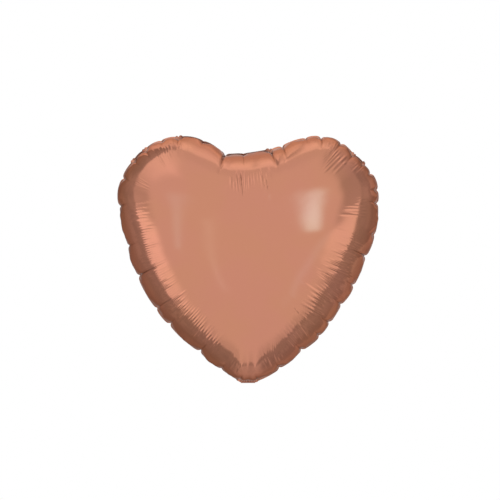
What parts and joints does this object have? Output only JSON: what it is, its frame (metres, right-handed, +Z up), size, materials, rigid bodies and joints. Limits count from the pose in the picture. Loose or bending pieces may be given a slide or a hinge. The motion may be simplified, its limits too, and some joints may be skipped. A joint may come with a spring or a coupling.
{
  "type": "heart-shaped foil balloon",
  "caption": "Inflated heart-shaped foil party balloon with a puckered heat-sealed rim, a folding filling tail and a self-sealing film valve inside its neck.",
  "frame": {"origin": "middle of the flat neck at the heart's bottom tip, on the fold line, in the plane of the heat seal", "axes": "+Z up along the heart's line of symmetry, +X to the right as seen from the front, the front foil bulges towards -Y"},
  "size_m": [0.3642, 0.2168, 0.3454],
  "materials": {
    "front_foil": "metallised film, satin rose gold",
    "rear_foil": "metallised film, satin rose gold",
    "tail_foil": "metallised film, satin rose gold",
    "sealant": "fused sealant film",
    "valve_film": "clear soft film",
    "film_weld": "welded clear film"
  },
  "bodies": {
    "heart": {"front_foil_panel": "front_foil", "rear_foil_panel": "rear_foil", "perimeter_heat_seal": "sealant", "valve_front_film": "valve_film", "valve_side_seals": "film_weld"},
    "valve_flap": {"valve_rear_film": "valve_film"},
    "tail": {"tail_front_ply": "tail_foil", "tail_rear_ply": "tail_foil", "tail_side_seals": "sealant", "tail_valve_front_film": "valve_film", "tail_valve_rear_film": "valve_film", "tail_valve_side_seals": "film_weld"}
  },
  "joints": [
    {"name": "tail_fold", "type": "hinge", "parent": "heart", "child": "tail", "pos_m": [0, 0, 0], "axis": [-1, 0, 0], "range_deg": [0, 116]},
    {"name": "valve_open", "type": "hinge", "parent": "heart", "child": "valve_flap", "pos_m": [0, 0.00007, 0.0015], "axis": [-1, 0, 0], "range_deg": [0, 2.5]}
  ]
}
